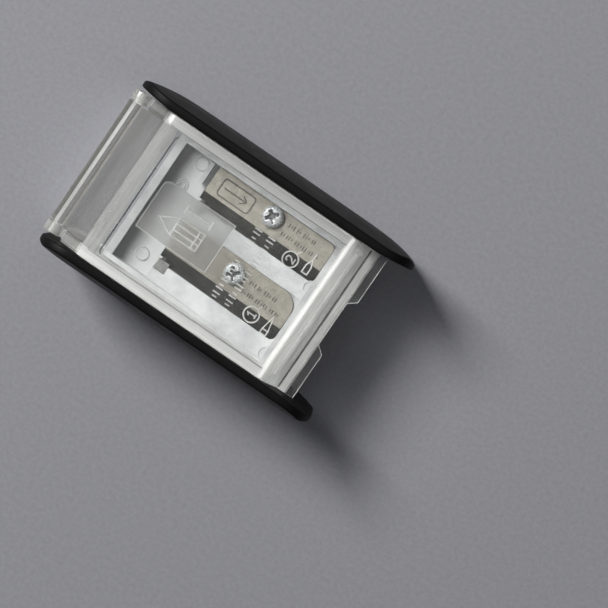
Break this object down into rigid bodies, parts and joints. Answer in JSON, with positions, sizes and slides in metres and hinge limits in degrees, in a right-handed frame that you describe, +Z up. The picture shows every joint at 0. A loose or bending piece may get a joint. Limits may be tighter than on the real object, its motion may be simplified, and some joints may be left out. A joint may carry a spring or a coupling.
{
  "type": "pencil sharpener",
  "caption": "Long-point pencil sharpener: cast block with a wood hole and a point hole, steel blades, a clear shavings case with a hinged lid and black side cheeks.",
  "frame": {"origin": "middle of the footprint, on the surface that the cheeks stand on", "axes": "+X out of the pencil holes, +Y to the point hole's side, +Z up"},
  "size_m": [0.0615, 0.0388, 0.025],
  "materials": {
    "cheek": "satin black moulded plastic",
    "clear": "clear moulded polystyrene",
    "cast": "fine matt die-cast light metal",
    "blade": "hardened steel strip with a ground edge",
    "screw": "bright zinc-plated steel",
    "stop": "bent sheet steel"
  },
  "bodies": {
    "case": {"left_cheek": "cheek", "right_cheek": "cheek", "shavings_tub": "clear", "sharpener_block": "cast", "wood_blade": "blade", "point_blade": "blade", "wood_blade_screw": "screw", "point_blade_screw": "screw", "wood_stop": "stop", "point_stop": "stop"},
    "lid": {"lid": "clear"}
  },
  "joints": [
    {"name": "lid_hinge", "type": "hinge", "parent": "case", "child": "lid", "pos_m": [-0.02915, 0, 0.0184], "axis": [0, -1, 0], "range_deg": [0, 105]}
  ]
}
